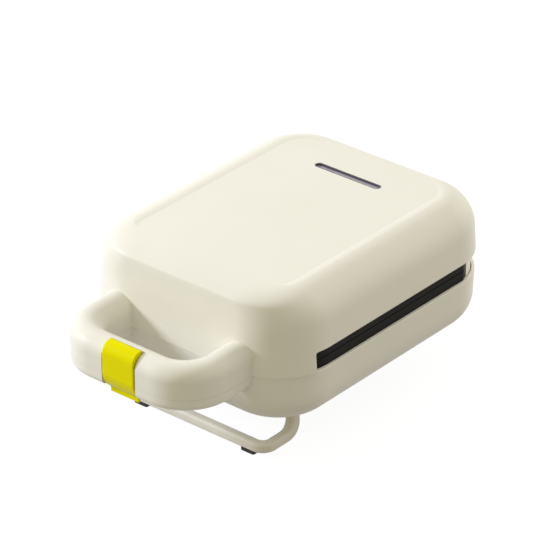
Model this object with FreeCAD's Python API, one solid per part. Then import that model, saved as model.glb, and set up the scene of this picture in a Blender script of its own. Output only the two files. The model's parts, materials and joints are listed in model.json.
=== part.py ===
import FreeCAD, Part
import math
import os

V = FreeCAD.Vector

# Overall body, millimetres, +Z up, handle towards -Y, origin under the middle
FRONT_Y = -60.25
BODY_DEPTH = 160.0
BODY_HALF_W = 65.0
BODY_CORNER_R = 31.0
WALL = 2.0

# Heights above the table
SHELL_BOTTOM_Z = 20.4
SEAM_Z = 48.4
SEAM_GAP = 0.1
SLOT_TOP_Z = 58.2
TOP_Z = 87.0
PARTING_Z = 0.5 * (SEAM_Z + SLOT_TOP_Z)
PARTING_GAP = 0.25

# Upper shell
UPPER_TAPER = 2.5
TOP_ROUND = 15.5
TOP_FRONT_RUN = 15.0
TOP_FRONT_DROP = 4.8
TOP_SIDE_STEPS = (0.0, 7.5, 15.0, 22.5, 30.0, 37.0)
TOP_FRONT_STEPS = (0.0, 3.0, 6.0, 9.0, 13.0, 18.0, 24.0, 32.0, 42.0, 55.0, 70.0, 80.0, 90.0)
TOP_SKIN = 2.8
PANEL_HALF_W = 45.0
PANEL_FRONT = 21.5
PANEL_REAR = 143.0
PANEL_FRONT_R = 5.0
PANEL_REAR_R = 13.0
PANEL_DEPTH = 0.45
PANEL_SLOPE = ((0.0, 0.0), (1.4, 0.25), (23.0, 1.45))
SLOT_FRONT = 22.8
SLOT_CORNER_R = 1.2
SLOT_EDGE_R = 0.5
RIM_ZONE = 1.2

# Lower shell
LOWER_INSET = 1.0
LOWER_FRONT_INSET = 0.6
LOWER_TAPER = 1.0
BOTTOM_ROUND = 16.0
FLOOR = 2.5
RIM_ROUND = 0.4
DECK_DROP = 0.8
DECK_THICK = 1.6
GUARD_FRONT = 136.2
GUARD_FROM_X = 44.0
GUARD_INSET = 2.1
GUARD_THICK = 2.2
GUARD_GAP = 0.4
GUARD_ROUND = 1.4
GROOVE_INSET = 1.5
GROOVE_DEPTH = 3.0
VENT_LENGTH = 16.0
VENT_WIDTH = 2.4
VENT_PITCH = 5.0
VENT_COUNT = 7
VENT_ROWS = (56.0, 78.0)

# Liners and plates
LINER_REAR = 135.4
LINER_REAR_R = 4.0
FLANGE_HALF_W = 62.5
FLANGE_FRONT = 3.4
FLANGE_R = 29.0
LINER_HALF_W = 60.0
LINER_FRONT = 5.0
LINER_R = 25.7
LINER_WALL = 3.0
LINER_FLOOR = 1.6
LINER_HEIGHT = 19.9
DECK_TO_LINER = 0.4
LEDGE_W = 1.4
BOWL_REAR_R = 1.0
PLATE_CLEARANCE = 0.4
PLATE_THICK = 2.7
RING_MAJOR = 16.0
RING_MINOR = 8.0
RING_SKIN = 2.2
RING_PITCH_X = 56.0
RING_PITCH_Y = 60.0
POST_R = 3.5
POST_OFFSET = 16.0
POST_HOLE_MARGIN = 0.4
POST_SCREW_DEPTH = 6.0

# Heating parts
HEATER_R = 3.2
HEATER_HALF_X = 38.0
HEATER_HALF_Y = 42.0
HEATER_BEND_R = 18.0
HEATER_DROP = 14.5
COLD_PIN_X = 16.0
COLD_PIN_R = 3.0
COLD_PIN_LENGTH = 12.0
COLD_PIN_HOLE_R = 3.8
REFLECTOR_THICK = 0.6
REFLECTOR_INSET = 5.0
THERMOSTAT_R = 8.0
THERMOSTAT_H = 6.0
BRACKET_HALF_X = 11.0
BRACKET_HALF_Y = 2.5
BRACKET_THICK = 1.0
FUSE_R = 2.0
FUSE_LENGTH = 14.0
FUSE_LEAD_R = 0.5
FUSE_OFFSET = 27.0

# Handle
HANDLE_REACH = 40.0
HANDLE_HALF_W = 43.4
HANDLE_BAR = 16.0
HANDLE_OUTER_R = 25.0
HANDLE_INNER_R = 10.0
HANDLE_TOP_Z = 63.7
HANDLE_BOTTOM_Z = 42.0
HANDLE_OUTER_ROUND = 7.0
HANDLE_INNER_ROUND = 8.9
HANDLE_BOTTOM_ROUND = 3.5
HANDLE_ROOT = 15.0

# Latch
LATCH_HALF_W = 9.3
LATCH_SIDE_GAP = 0.8
LATCH_PROUD = 0.5
LATCH_TOP_PROUD = 1.2
LATCH_TOP_BACK = 1.6
LATCH_ROUND_R = 5.5
LATCH_EDGE_R = 0.5
LATCH_WALL = 2.4
LATCH_PIVOT_BACK = 4.0
LATCH_PIVOT_Z = 61.3
LATCH_BARREL_R = 2.4
LATCH_SWEEP_GAP = 0.2
LATCH_HOOK_RISE = 4.5
LATCH_RECESS_FRONT = 1.5
LATCH_HOOK_LENGTH = 3.2
NOTCH_GAP = 0.6
CATCH_R = 0.4
CATCH_HALF_W = 8.0
CATCH_RISE = 2.2
LATCH_LIP_HALF_W = 8.3
LATCH_LIP_Z = 38.3
LATCH_LIP_SETBACK = 4.6
LATCH_LIP_TAPER = 0.6
LATCH_CHIN_RISE = 7.0
LATCH_CHIN_SETBACK = 4.4
LATCH_CHIN_LIFT = -1.2
LATCH_CHIN_MID = (1.3, 2.6)
PIN_R = 1.2
PIN_CLEARANCE = 0.05
PIN_HALF_LENGTH = 13.0

# Hinge
HINGE_BACK = 3.5
KNUCKLE_R = 3.7
KNUCKLE_WEB_HALF = 3.2
BASE_KNUCKLE_X = 16.0
LID_KNUCKLE_X = 26.4
KNUCKLE_LENGTH = 10.0
HINGE_PIN_R = 1.75
HINGE_PIN_END = 1.0
HINGE_CLEARANCE = 0.06
CONDUIT_HALF_LENGTH = 12.0
CONDUIT_BORE_R = 2.2
HINGE_FOOT_FRONT = 2.5
HINGE_FOOT_BACK = 0.2

# Lens and indicator
LENS_CENTRE = 122.8
LENS_HALF_L = 19.6
LENS_HALF_W = 2.3
LENS_GAP = 0.12
LENS_SUNK = 0.05
LENS_RIM = 0.45
LENS_WELL = 1.0
LENS_FLANGE = 1.8
LENS_FLANGE_THICK = 1.2
BOARD_HALF_X = 24.0
BOARD_HALF_Y = 6.0
BOARD_THICK = 1.6
BOARD_Z = 76.6
SPACER_R = 1.6
SPACER_INSET = 2.0
LAMP_R = 1.5
LAMP_X = 8.0
LAMP_HEIGHT = 2.6

# Front stand and feet
PAD_THICK = 1.5
STAND_FRONT = 9.4
STAND_REAR = 35.3
STAND_HALF_W = 44.0
STAND_BAR_W = 5.2
STAND_BAR_H = 5.2
STAND_CORNER_R = 8.0
STAND_ROUND = 1.6
STAND_HEEL_R = 8.0
STAND_CROOK_R = 4.0
SHORT_EDGE = 3.0
LEG_DEPTH = 6.0
TENON_INSET = 0.8
TENON_GAP = 0.15
TENON_HEIGHT = 4.0
PAD_LENGTH = 8.0
PAD_WIDTH = 4.2
PAD_CORNER_R = 1.0
PAD_OUTER_X = 36.7
REAR_FOOT_X = 24.0
REAR_FOOT_Y = 128.0
REAR_FOOT_R = 7.0
REAR_FOOT_TOP_R = 8.0
REAR_PAD_R = 6.2
FOOT_STEM_HEIGHT = 2.0

# Fixings, wiring and cord inlet
SCREW_X = 28.0
SCREW_OFFSETS = (40.0, 98.0)
SCREW_SHANK_R = 1.5
SCREW_HEAD_R = 3.3
SCREW_HEAD_H = 1.3
SCREW_HEAD_GAP = 0.3
BASE_SCREW_LENGTH = 10.0
LID_SCREW_LENGTH = 8.0
CROSS_HALF_L = 1.7
CROSS_HALF_W = 0.4
CROSS_DEPTH = 0.7
BOSS_R = 4.0
GLAND_Z = 34.0
GLAND_R = 6.0
GLAND_FLANGE_R = 8.5
GLAND_FLANGE_THICK = 2.0
GLAND_INNER_LENGTH = 5.0
GLAND_BORE_R = 3.2
TERMINAL_HALF_X = 14.0
TERMINAL_DEPTH = 9.0
TERMINAL_HEIGHT = 9.0
TERMINAL_BACK = 17.0
TERMINAL_PITCH = 9.0
TERMINAL_WELL_R = 2.4
TERMINAL_WELL_Z = 4.0
WIRE_R = 1.1
BASE_WIRE_Z = 24.6
BASE_WIRE_BEND = 8.0
LID_WIRE_Z = 82.4
LID_WIRE_BACK = 5.2

# Cutting lengths beyond the work, and tolerances for picking edges
OVERCUT = 1.0
FAR = 120.0
SNAP = 0.01
END_EASE = 0.001

HINGE_Y = FRONT_Y + BODY_DEPTH - HINGE_BACK
LATCH_Y = FRONT_Y - HANDLE_REACH + LATCH_PIVOT_BACK
LOWER_FACE_Z = PARTING_Z - PARTING_GAP
LEDGE_Z = LOWER_FACE_Z - PLATE_THICK
LINER_FLOOR_Z = LOWER_FACE_Z - LINER_HEIGHT
SHEET_Z = LINER_FLOOR_Z + LINER_FLOOR
RING_R = RING_MAJOR + RING_MINOR + RING_SKIN
RING_DEPTH = RING_MINOR + RING_SKIN
HEATER_Z = LOWER_FACE_Z - HEATER_DROP
PLATE_MID_Y = FRONT_Y + 0.5 * (LINER_FRONT + LINER_REAR)
COLD_PIN_Y = PLATE_MID_Y + HEATER_HALF_Y
LID_LINER_TOP_Z = 2 * PARTING_Z - LINER_FLOOR_Z
SKIRT_Z = SEAM_Z + SEAM_GAP
PANEL_Z = TOP_Z - PANEL_DEPTH
SKIN_Z = TOP_Z - TOP_SKIN
FLOOR_Z = SHELL_BOTTOM_Z + FLOOR
DECK_Z = SEAM_Z - DECK_DROP
BAR_TOP_Z = PAD_THICK + STAND_BAR_H
LOWER_HALF_W = BODY_HALF_W - LOWER_INSET
LOWER_R = BODY_CORNER_R - LOWER_INSET
LOWER_FRONT_Y = FRONT_Y + LOWER_FRONT_INSET
LOWER_BACK_Y = FRONT_Y + BODY_DEPTH - LOWER_INSET
POCKET_INSET = LINER_WALL - LEDGE_W
BOTH_SIDES = (-1, 1)

os.makedirs("parts", exist_ok=True)


# Building blocks
def at(offset):
    return FRONT_Y + offset


def box(x0, x1, y0, y1, z0, z1):
    return Part.makeBox(x1 - x0, y1 - y0, z1 - z0, V(x0, y0, z0))


def rod_x(x0, x1, y, z, radius):
    return Part.makeCylinder(radius, x1 - x0, V(x0, y, z), V(1, 0, 0))


def rod_y(x, y0, y1, z, radius):
    return Part.makeCylinder(radius, y1 - y0, V(x, y0, z), V(0, 1, 0))


def rod_z(x, y, z0, z1, radius):
    return Part.makeCylinder(radius, z1 - z0, V(x, y, z0), V(0, 0, 1))


def line(first, second):
    return Part.LineSegment(first, second).toShape()


def corner_points(cx, cy, z, radius, start_deg):
    points = []
    for step in (0.0, 45.0, 90.0):
        angle = math.radians(start_deg + step)
        points.append(V(cx + radius * math.cos(angle), cy + radius * math.sin(angle), z))
    return points


def outline(half_w, y0, y1, r_front, r_back, z):
    corners = [
        corner_points(half_w - r_back, y1 - r_back, z, r_back, 0.0),
        corner_points(-half_w + r_back, y1 - r_back, z, r_back, 90.0),
        corner_points(-half_w + r_front, y0 + r_front, z, r_front, 180.0),
        corner_points(half_w - r_front, y0 + r_front, z, r_front, 270.0),
    ]
    edges = []
    for index, points in enumerate(corners):
        following = corners[(index + 1) % len(corners)]
        edges.append(Part.Arc(*points).toShape())
        edges.append(line(points[2], following[0]))
    return Part.Wire(edges)


def slab(half_w, y0, y1, r_front, r_back, z0, z1):
    face = Part.Face(outline(half_w, y0, y1, r_front, r_back, z0))
    return face.extrude(V(0, 0, z1 - z0))


def tapered(half_w, y0, y1, radius, z_wide, z_narrow, taper):
    wide = outline(half_w, y0, y1, radius, radius, z_wide)
    narrow_r = radius - taper
    narrow = outline(half_w - taper, y0 + taper, y1 - taper, narrow_r, narrow_r, z_narrow)
    return Part.makeLoft([wide, narrow], True, True)


def edges_at_z(shape, z):
    picked = []
    for edge in shape.Edges:
        bounds = edge.BoundBox
        if abs(bounds.ZMin - z) < SNAP and abs(bounds.ZMax - z) < SNAP:
            picked.append(edge)
    return picked


def rounded_at_z(shape, z, radius):
    return shape.makeFillet(radius, edges_at_z(shape, z))


def joined(shapes):
    return shapes[0].fuse(shapes[1:]).removeSplitter()


def pierced(shape, tools):
    for tool in tools:
        shape = shape.cut(tool)
    return shape


def mirrored_x(shape):
    return shape.mirror(V(0, 0, 0), V(1, 0, 0))


def upside_down(shape):
    return shape.mirror(V(0, 0, PARTING_Z), V(0, 0, 1))


def wire_run(points, radius):
    pieces = []
    for first, second in zip(points, points[1:]):
        run = second - first
        pieces.append(Part.makeCylinder(radius, run.Length, first, run))
    for corner in points[1:-1]:
        pieces.append(Part.makeSphere(radius, corner))
    return joined(pieces)


def save(name, shapes):
    whole = shapes[0] if len(shapes) == 1 else Part.makeCompound(shapes)
    whole.exportStep("parts/" + name + ".step")


def screw_spots():
    return [(side * SCREW_X, at(offset)) for side in BOTH_SIDES for offset in SCREW_OFFSETS]


def post_spots():
    return [(0.0, PLATE_MID_Y + side * POST_OFFSET) for side in BOTH_SIDES]


def cold_pin_spots():
    return [(side * COLD_PIN_X, COLD_PIN_Y) for side in BOTH_SIDES]


def ring_spots():
    spots = []
    for side_x in BOTH_SIDES:
        for side_y in BOTH_SIDES:
            spots.append((0.5 * side_x * RING_PITCH_X, PLATE_MID_Y + 0.5 * side_y * RING_PITCH_Y))
    return spots


def rods_z(spots, z0, z1, radius):
    return [rod_z(x, y, z0, z1, radius) for x, y in spots]


# Hinge blocks: one pair hangs from the lid's deck, the other stands on the base's deck and rim
def hinge_bore(radius):
    return rod_x(-FAR, FAR, HINGE_Y, PARTING_Z, radius)


def hinge_block(x0, z_to, bore_r):
    z0, z1 = sorted((PARTING_Z, z_to))
    x1 = x0 + KNUCKLE_LENGTH
    barrel = rod_x(x0, x1, HINGE_Y, PARTING_Z, KNUCKLE_R)
    web = box(x0, x1, HINGE_Y - KNUCKLE_WEB_HALF, HINGE_Y + KNUCKLE_WEB_HALF, z0, z1)
    return joined([barrel, web]).cut(hinge_bore(bore_r))


def deck_foot(x0, x1, z1):
    return box(x0, x1, HINGE_Y - HINGE_FOOT_FRONT, HINGE_Y + HINGE_FOOT_BACK, DECK_Z, z1)


def base_hinge_blocks():
    foot = deck_foot(BASE_KNUCKLE_X, BASE_KNUCKLE_X + KNUCKLE_LENGTH, SEAM_Z)
    right = joined([hinge_block(BASE_KNUCKLE_X, SEAM_Z, HINGE_PIN_R), foot])
    return [right, mirrored_x(right)]


def lid_hinge_blocks():
    right = hinge_block(LID_KNUCKLE_X, SLOT_TOP_Z, HINGE_PIN_R + HINGE_CLEARANCE)
    return [right, mirrored_x(right)]


# Upper shell: tapered box with a rounded top, a shallow top panel and an open side slot
def round_inset(z, run, drop):
    share = max(0.0, 1.0 - (TOP_Z - z) / drop)
    return run * (1.0 - math.sqrt(1.0 - share * share))


def upper_section(z):
    lean = UPPER_TAPER * (z - SKIRT_Z) / (TOP_Z - SKIRT_Z)
    side = lean + round_inset(z, TOP_ROUND, TOP_ROUND)
    front = lean + round_inset(z, TOP_FRONT_RUN, TOP_FRONT_DROP)
    front_r = BODY_CORNER_R - 0.5 * (side + front)
    return outline(BODY_HALF_W - side, at(front), at(BODY_DEPTH - side), front_r, BODY_CORNER_R - side, z)


def round_sections(drop, steps):
    return [upper_section(TOP_Z - drop * (1.0 - math.sin(math.radians(step)))) for step in steps]


def upper_outside():
    sections = round_sections(TOP_ROUND, TOP_SIDE_STEPS) + round_sections(TOP_FRONT_DROP, TOP_FRONT_STEPS)
    crown = Part.makeLoft(sections, True, False)
    walls = Part.makeLoft([upper_section(SKIRT_Z), sections[0]], True, True)
    return joined([walls, crown])


def upper_inside():
    half_w = BODY_HALF_W - WALL
    radius = BODY_CORNER_R - WALL
    block = tapered(half_w, at(WALL), at(BODY_DEPTH - WALL), radius, SKIRT_Z, SKIN_Z, UPPER_TAPER)
    return rounded_at_z(block, SKIN_Z, TOP_ROUND - WALL)


def top_panel():
    rims = []
    for out, rise in PANEL_SLOPE:
        front_r = PANEL_FRONT_R + 0.5 * out
        rims.append(outline(PANEL_HALF_W + out, at(PANEL_FRONT), at(PANEL_REAR + out), front_r,
                            PANEL_REAR_R + out, PANEL_Z + rise))
    return Part.makeLoft(rims, True, True)


def side_slot():
    cutter = box(-FAR, FAR, at(SLOT_FRONT), at(BODY_DEPTH + OVERCUT), SEAM_Z - OVERCUT, SLOT_TOP_Z)
    corner = []
    for edge in cutter.Edges:
        middle = edge.CenterOfMass
        if abs(middle.y - at(SLOT_FRONT)) < SNAP and abs(middle.z - SLOT_TOP_Z) < SNAP:
            corner.append(edge)
    return cutter.makeFillet(SLOT_CORNER_R, corner)


def slot_rim_edges(shape):
    picked = []
    for edge in shape.Edges:
        bounds = edge.BoundBox
        first = edge.Vertexes[0].Point
        on_slot = bounds.ZMax < SLOT_TOP_Z + SNAP and bounds.YMin > at(SLOT_FRONT) - SNAP
        outer = abs(first.x) > BODY_HALF_W - RIM_ZONE or first.y > at(BODY_DEPTH - RIM_ZONE)
        if on_slot and outer and first.z > SKIRT_Z:
            picked.append(edge)
    return picked


def lens_form(growth, z0, z1):
    middle = at(LENS_CENTRE)
    half_w = LENS_HALF_W + growth
    end_r = half_w - END_EASE
    return slab(LENS_HALF_L + growth, middle - half_w, middle + half_w, end_r, end_r, z0, z1)


def upper_shell():
    shell = upper_outside().cut(top_panel()).cut(upper_inside()).cut(side_slot())
    shell = shell.makeFillet(SLOT_EDGE_R, slot_rim_edges(shell))
    deck_y0 = at(LINER_REAR + DECK_TO_LINER)
    deck_zone = box(-FAR, FAR, deck_y0, at(BODY_DEPTH), SLOT_TOP_Z, SLOT_TOP_Z + DECK_THICK)
    bosses = rods_z(screw_spots(), LID_LINER_TOP_Z, SKIN_Z + SEAM_GAP, BOSS_R)
    shell = joined([shell, upper_inside().common(deck_zone)] + bosses)
    shell = shell.cut(lens_form(0.0, SKIN_Z - OVERCUT, TOP_Z))
    return pierced(shell, rods_z(screw_spots(), LID_LINER_TOP_Z - OVERCUT, SKIN_Z - OVERCUT, SCREW_SHANK_R))


# Lower shell: tub with a rear deck, vents, sockets for the feet and the cord inlet's hole
def lower_outside():
    tub = tapered(LOWER_HALF_W, LOWER_FRONT_Y, LOWER_BACK_Y, LOWER_R, SEAM_Z, SHELL_BOTTOM_Z, LOWER_TAPER)
    return rounded_at_z(tub, SHELL_BOTTOM_Z, BOTTOM_ROUND)


def lower_inside():
    half_w = LOWER_HALF_W - WALL
    radius = LOWER_R - WALL
    y0 = LOWER_FRONT_Y + WALL
    y1 = LOWER_BACK_Y - WALL
    hollow = tapered(half_w, y0, y1, radius, SEAM_Z, FLOOR_Z, LOWER_TAPER)
    return rounded_at_z(hollow, FLOOR_Z, BOTTOM_ROUND - FLOOR)


def vents():
    end_r = 0.5 * VENT_WIDTH - END_EASE
    first_x = -0.5 * VENT_PITCH * (VENT_COUNT - 1)
    slots = []
    for row in VENT_ROWS:
        for index in range(VENT_COUNT):
            slot = slab(0.5 * VENT_WIDTH, at(row), at(row + VENT_LENGTH), end_r, end_r,
                        SHELL_BOTTOM_Z - OVERCUT, FLOOR_Z + OVERCUT)
            slots.append(slot.translated(V(first_x + index * VENT_PITCH, 0, 0)))
    return slots


def gland_hole():
    return rod_y(0, LOWER_BACK_Y - BOTTOM_ROUND, LOWER_BACK_Y + OVERCUT, GLAND_Z, GLAND_R)


def rim_form(inset, z0, z1):
    radius = LOWER_R - inset
    return slab(LOWER_HALF_W - inset, LOWER_FRONT_Y + inset, LOWER_BACK_Y - inset, radius, radius, z0, z1)


def rear_corner(shape):
    return shape.common(box(GUARD_FROM_X, FAR, at(GUARD_FRONT), FAR, 0, FAR))


def corner_guard():
    z0 = SEAM_Z - GROOVE_DEPTH
    z1 = SLOT_TOP_Z - GUARD_GAP
    solid = rounded_at_z(rim_form(GUARD_INSET, z0, z1), z1, GUARD_ROUND)
    return rear_corner(solid.cut(rim_form(GUARD_INSET + GUARD_THICK, 0, FAR)))


def corner_groove():
    ring = rim_form(GROOVE_INSET, SEAM_Z - GROOVE_DEPTH, SEAM_Z + OVERCUT).cut(rim_form(GUARD_INSET, 0, FAR))
    return rear_corner(ring)


def lower_shell():
    tub = rounded_at_z(lower_outside(), SEAM_Z, RIM_ROUND).cut(lower_inside())
    tub = pierced(tub, [corner_groove(), mirrored_x(corner_groove())])
    deck_zone = box(-FAR, FAR, at(LINER_REAR + DECK_TO_LINER), at(BODY_DEPTH), DECK_Z - DECK_THICK, DECK_Z)
    guards = [corner_guard(), mirrored_x(corner_guard())]
    shell = joined([tub, lower_inside().common(deck_zone)] + guards).cut(gland_hole())
    below = SHELL_BOTTOM_Z - OVERCUT
    above = FLOOR_Z + OVERCUT
    head_r = SCREW_HEAD_R + SCREW_HEAD_GAP
    shell = pierced(shell, rods_z(screw_spots(), below, above, SCREW_SHANK_R))
    shell = pierced(shell, rods_z(screw_spots(), below, SHELL_BOTTOM_Z + SCREW_HEAD_H, head_r))
    shell = pierced(shell, rods_z(foot_spots(), below, above, SCREW_SHANK_R))
    return pierced(shell, [stand_tenon(side, TENON_GAP) for side in BOTH_SIDES] + vents())


# Front stand: foot bar along the table, two arms back and two posts up into the underside
def stand_tenon(side, growth):
    half_x = 0.5 * STAND_BAR_W - TENON_INSET + growth
    half_y = 0.5 * LEG_DEPTH - TENON_INSET + growth
    x = side * (STAND_HALF_W - 0.5 * STAND_BAR_W)
    y = at(STAND_REAR - 0.5 * LEG_DEPTH)
    z1 = SHELL_BOTTOM_Z + TENON_HEIGHT
    return box(x - half_x, x + half_x, y - half_y, y + half_y, SHELL_BOTTOM_Z - OVERCUT, z1)


def stand_bend(shape, y, z):
    picked = []
    for edge in shape.Edges:
        bounds = edge.BoundBox
        across = STAND_BAR_W - SNAP < bounds.XLength < STAND_BAR_W + SNAP
        placed = abs(bounds.YMin - y) < SNAP and abs(bounds.ZMax - z) < SNAP
        if across and placed and bounds.YLength < SNAP:
            picked.append(edge)
    return picked


def front_stand():
    inner_half = STAND_HALF_W - STAND_BAR_W
    bar_back = at(STAND_FRONT + STAND_BAR_W)
    skid = slab(STAND_HALF_W, at(STAND_FRONT), at(BODY_DEPTH), STAND_CORNER_R, STAND_ROUND,
                PAD_THICK, BAR_TOP_Z)
    gap = slab(inner_half, bar_back, at(BODY_DEPTH) + OVERCUT, STAND_CORNER_R - STAND_BAR_W, STAND_ROUND,
               PAD_THICK - OVERCUT, BAR_TOP_Z + OVERCUT)
    skid = skid.cut(gap).cut(box(-FAR, FAR, at(STAND_REAR), at(BODY_DEPTH) + OVERCUT, 0, FAR))
    leg_front = at(STAND_REAR - LEG_DEPTH)
    leg = box(inner_half, STAND_HALF_W, leg_front, at(STAND_REAR), PAD_THICK, SHELL_BOTTOM_Z)
    stand = joined([skid, leg, mirrored_x(leg)])
    stand = stand.makeFillet(STAND_HEEL_R, stand_bend(stand, at(STAND_REAR), PAD_THICK))
    stand = stand.makeFillet(STAND_CROOK_R, stand_bend(stand, leg_front, BAR_TOP_Z))
    soft = []
    for edge in stand.Edges:
        if edge.BoundBox.ZMin < SHELL_BOTTOM_Z - SNAP and edge.Length > SHORT_EDGE:
            soft.append(edge)
    stand = stand.makeFillet(STAND_ROUND, soft)
    return joined([stand] + [stand_tenon(side, 0.0) for side in BOTH_SIDES])


def front_pads():
    y0 = at(STAND_FRONT + 0.5 * (STAND_BAR_W - PAD_WIDTH))
    pad = slab(0.5 * PAD_LENGTH, y0, y0 + PAD_WIDTH, PAD_CORNER_R, PAD_CORNER_R, 0, PAD_THICK)
    shift = PAD_OUTER_X - 0.5 * PAD_LENGTH
    return [pad.translated(V(side * shift, 0, 0)) for side in BOTH_SIDES]


def foot_spots():
    return [(side * REAR_FOOT_X, at(REAR_FOOT_Y)) for side in BOTH_SIDES]


def rear_feet():
    feet = []
    for x, y in foot_spots():
        height = SHELL_BOTTOM_Z - PAD_THICK
        cone = Part.makeCone(REAR_FOOT_R, REAR_FOOT_TOP_R, height, V(x, y, PAD_THICK))
        stem = rod_z(x, y, SHELL_BOTTOM_Z - OVERCUT, FLOOR_Z + FOOT_STEM_HEIGHT, SCREW_SHANK_R)
        feet.append(joined([cone, stem]))
    return feet


# Handle: one rounded loop split at the seam, with a recess in the front bar for the latch
LATCH_CROWN_Y = LATCH_Y + LATCH_TOP_BACK
LATCH_CROWN_Z = HANDLE_TOP_Z + LATCH_TOP_PROUD
RECESS_FRONT_Y = LATCH_Y - LATCH_RECESS_FRONT
HOOK_Y = RECESS_FRONT_Y + LATCH_HOOK_LENGTH


def latch_recess():
    half = LATCH_HALF_W + LATCH_SIDE_GAP
    ahead = at(-HANDLE_REACH) - LATCH_PROUD - OVERCUT
    sweep_r = math.hypot(LATCH_TOP_BACK, LATCH_CROWN_Z - LATCH_PIVOT_Z) + LATCH_SWEEP_GAP
    return joined([
        box(-half, half, ahead, LATCH_Y, LATCH_PIVOT_Z, HANDLE_TOP_Z + OVERCUT),
        box(-half, half, ahead, RECESS_FRONT_Y, HANDLE_BOTTOM_Z - OVERCUT, LATCH_PIVOT_Z),
        rod_x(-half, half, LATCH_Y, LATCH_PIVOT_Z, sweep_r),
    ])


def grip_edges(shape, z):
    return [edge for edge in edges_at_z(shape, z) if edge.CenterOfMass.y < at(HANDLE_ROOT) - SNAP]


def beside_gap(edge):
    middle = edge.CenterOfMass
    within = abs(middle.x) < HANDLE_HALF_W - HANDLE_BAR + SNAP
    return within and middle.y > at(HANDLE_BAR - HANDLE_REACH) - SNAP


def grip():
    deep = at(HANDLE_ROOT + HANDLE_BAR)
    loop = slab(HANDLE_HALF_W, at(-HANDLE_REACH), deep, HANDLE_OUTER_R, OVERCUT,
                HANDLE_BOTTOM_Z, HANDLE_TOP_Z)
    finger_gap = slab(HANDLE_HALF_W - HANDLE_BAR, at(HANDLE_BAR - HANDLE_REACH), deep + OVERCUT,
                      HANDLE_INNER_R, OVERCUT, HANDLE_BOTTOM_Z - OVERCUT, HANDLE_TOP_Z + OVERCUT)
    loop = loop.cut(finger_gap).cut(box(-FAR, FAR, at(HANDLE_ROOT), deep + OVERCUT, 0, FAR))
    outer = [edge for edge in grip_edges(loop, HANDLE_TOP_Z) if not beside_gap(edge)]
    loop = loop.makeFillet(HANDLE_OUTER_ROUND, outer)
    inner = [edge for edge in grip_edges(loop, HANDLE_TOP_Z) if beside_gap(edge)]
    loop = loop.makeFillet(HANDLE_INNER_ROUND, inner)
    loop = loop.makeFillet(HANDLE_BOTTOM_ROUND, grip_edges(loop, HANDLE_BOTTOM_Z))
    return loop.cut(latch_recess())


def latch_axle(half_length, radius):
    return rod_x(-half_length, half_length, LATCH_Y, LATCH_PIVOT_Z, radius)


def upper_handle():
    above = box(-FAR, FAR, -FAR, FAR, SKIRT_Z, FAR)
    half = grip().common(above).cut(upper_outside())
    return half.cut(latch_axle(PIN_HALF_LENGTH, PIN_R))


def lower_handle():
    below = box(-FAR, FAR, -FAR, FAR, 0, SEAM_Z)
    half_w = LATCH_HALF_W + LATCH_SIDE_GAP
    notch_y = HOOK_Y + NOTCH_GAP
    notch = box(-half_w, half_w, -FAR, notch_y, 0, SEAM_Z + OVERCUT)
    half = grip().common(below).cut(lower_outside()).cut(notch)
    catch = rod_x(-CATCH_HALF_W, CATCH_HALF_W, notch_y, HANDLE_BOTTOM_Z + CATCH_RISE, CATCH_R)
    return joined([half, catch])


# Latch: barrel on the pivot, curved cover, front wall, and a lip into the lower handle's notch
def yz(y, z):
    return V(-LATCH_HALF_W, y, z)


def latch():
    face_y = at(-HANDLE_REACH) - LATCH_PROUD
    wall_y = face_y + LATCH_WALL
    round_r = LATCH_ROUND_R
    round_y = face_y + round_r
    round_z = LATCH_CROWN_Z - round_r
    hook_z = HANDLE_BOTTOM_Z + LATCH_HOOK_RISE
    crown_angle = math.acos((LATCH_CROWN_Y - round_y) / round_r)
    mid_angle = 0.5 * (math.pi + crown_angle)
    crown = yz(LATCH_CROWN_Y, round_z + round_r * math.sin(crown_angle))
    shoulder = yz(round_y + round_r * math.cos(mid_angle), round_z + round_r * math.sin(mid_angle))
    face_top = yz(face_y, round_z)
    face_low = yz(face_y, HANDLE_BOTTOM_Z + LATCH_CHIN_RISE)
    chin_mid = yz(face_y + LATCH_CHIN_MID[0], HANDLE_BOTTOM_Z + LATCH_CHIN_MID[1])
    chin = yz(face_y + LATCH_CHIN_SETBACK, HANDLE_BOTTOM_Z + LATCH_CHIN_LIFT)
    outline_points = [
        chin,
        yz(face_y + LATCH_LIP_SETBACK, LATCH_LIP_Z),
        yz(HOOK_Y - LATCH_LIP_TAPER, LATCH_LIP_Z),
        yz(HOOK_Y, hook_z),
        yz(wall_y, hook_z),
        yz(wall_y, LATCH_PIVOT_Z),
        yz(LATCH_CROWN_Y, LATCH_PIVOT_Z),
        crown,
    ]
    edges = [
        Part.Arc(crown, shoulder, face_top).toShape(),
        line(face_top, face_low),
        Part.Arc(face_low, chin_mid, chin).toShape(),
    ]
    edges += [line(first, second) for first, second in zip(outline_points, outline_points[1:])]
    body = Part.Face(Part.Wire(edges)).extrude(V(2 * LATCH_HALF_W, 0, 0))
    body = joined([body, latch_axle(LATCH_HALF_W, LATCH_BARREL_R)])
    body = body.cut(latch_axle(FAR, PIN_R + PIN_CLEARANCE))
    chin_z = HANDLE_BOTTOM_Z + LATCH_CHIN_LIFT
    body = body.cut(box(LATCH_LIP_HALF_W, FAR, -FAR, FAR, 0, chin_z))
    body = body.cut(box(-FAR, -LATCH_LIP_HALF_W, -FAR, FAR, 0, chin_z))
    rim = []
    for edge in body.Edges:
        bounds = edge.BoundBox
        outer = bounds.YMax < wall_y - SNAP or bounds.ZMin > LATCH_PIVOT_Z + LATCH_BARREL_R
        on_side = bounds.XLength < SNAP and bounds.ZMin > HANDLE_BOTTOM_Z + LATCH_CHIN_MID[1]
        if on_side and outer:
            rim.append(edge)
    return body.makeFillet(LATCH_EDGE_R, rim)


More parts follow.
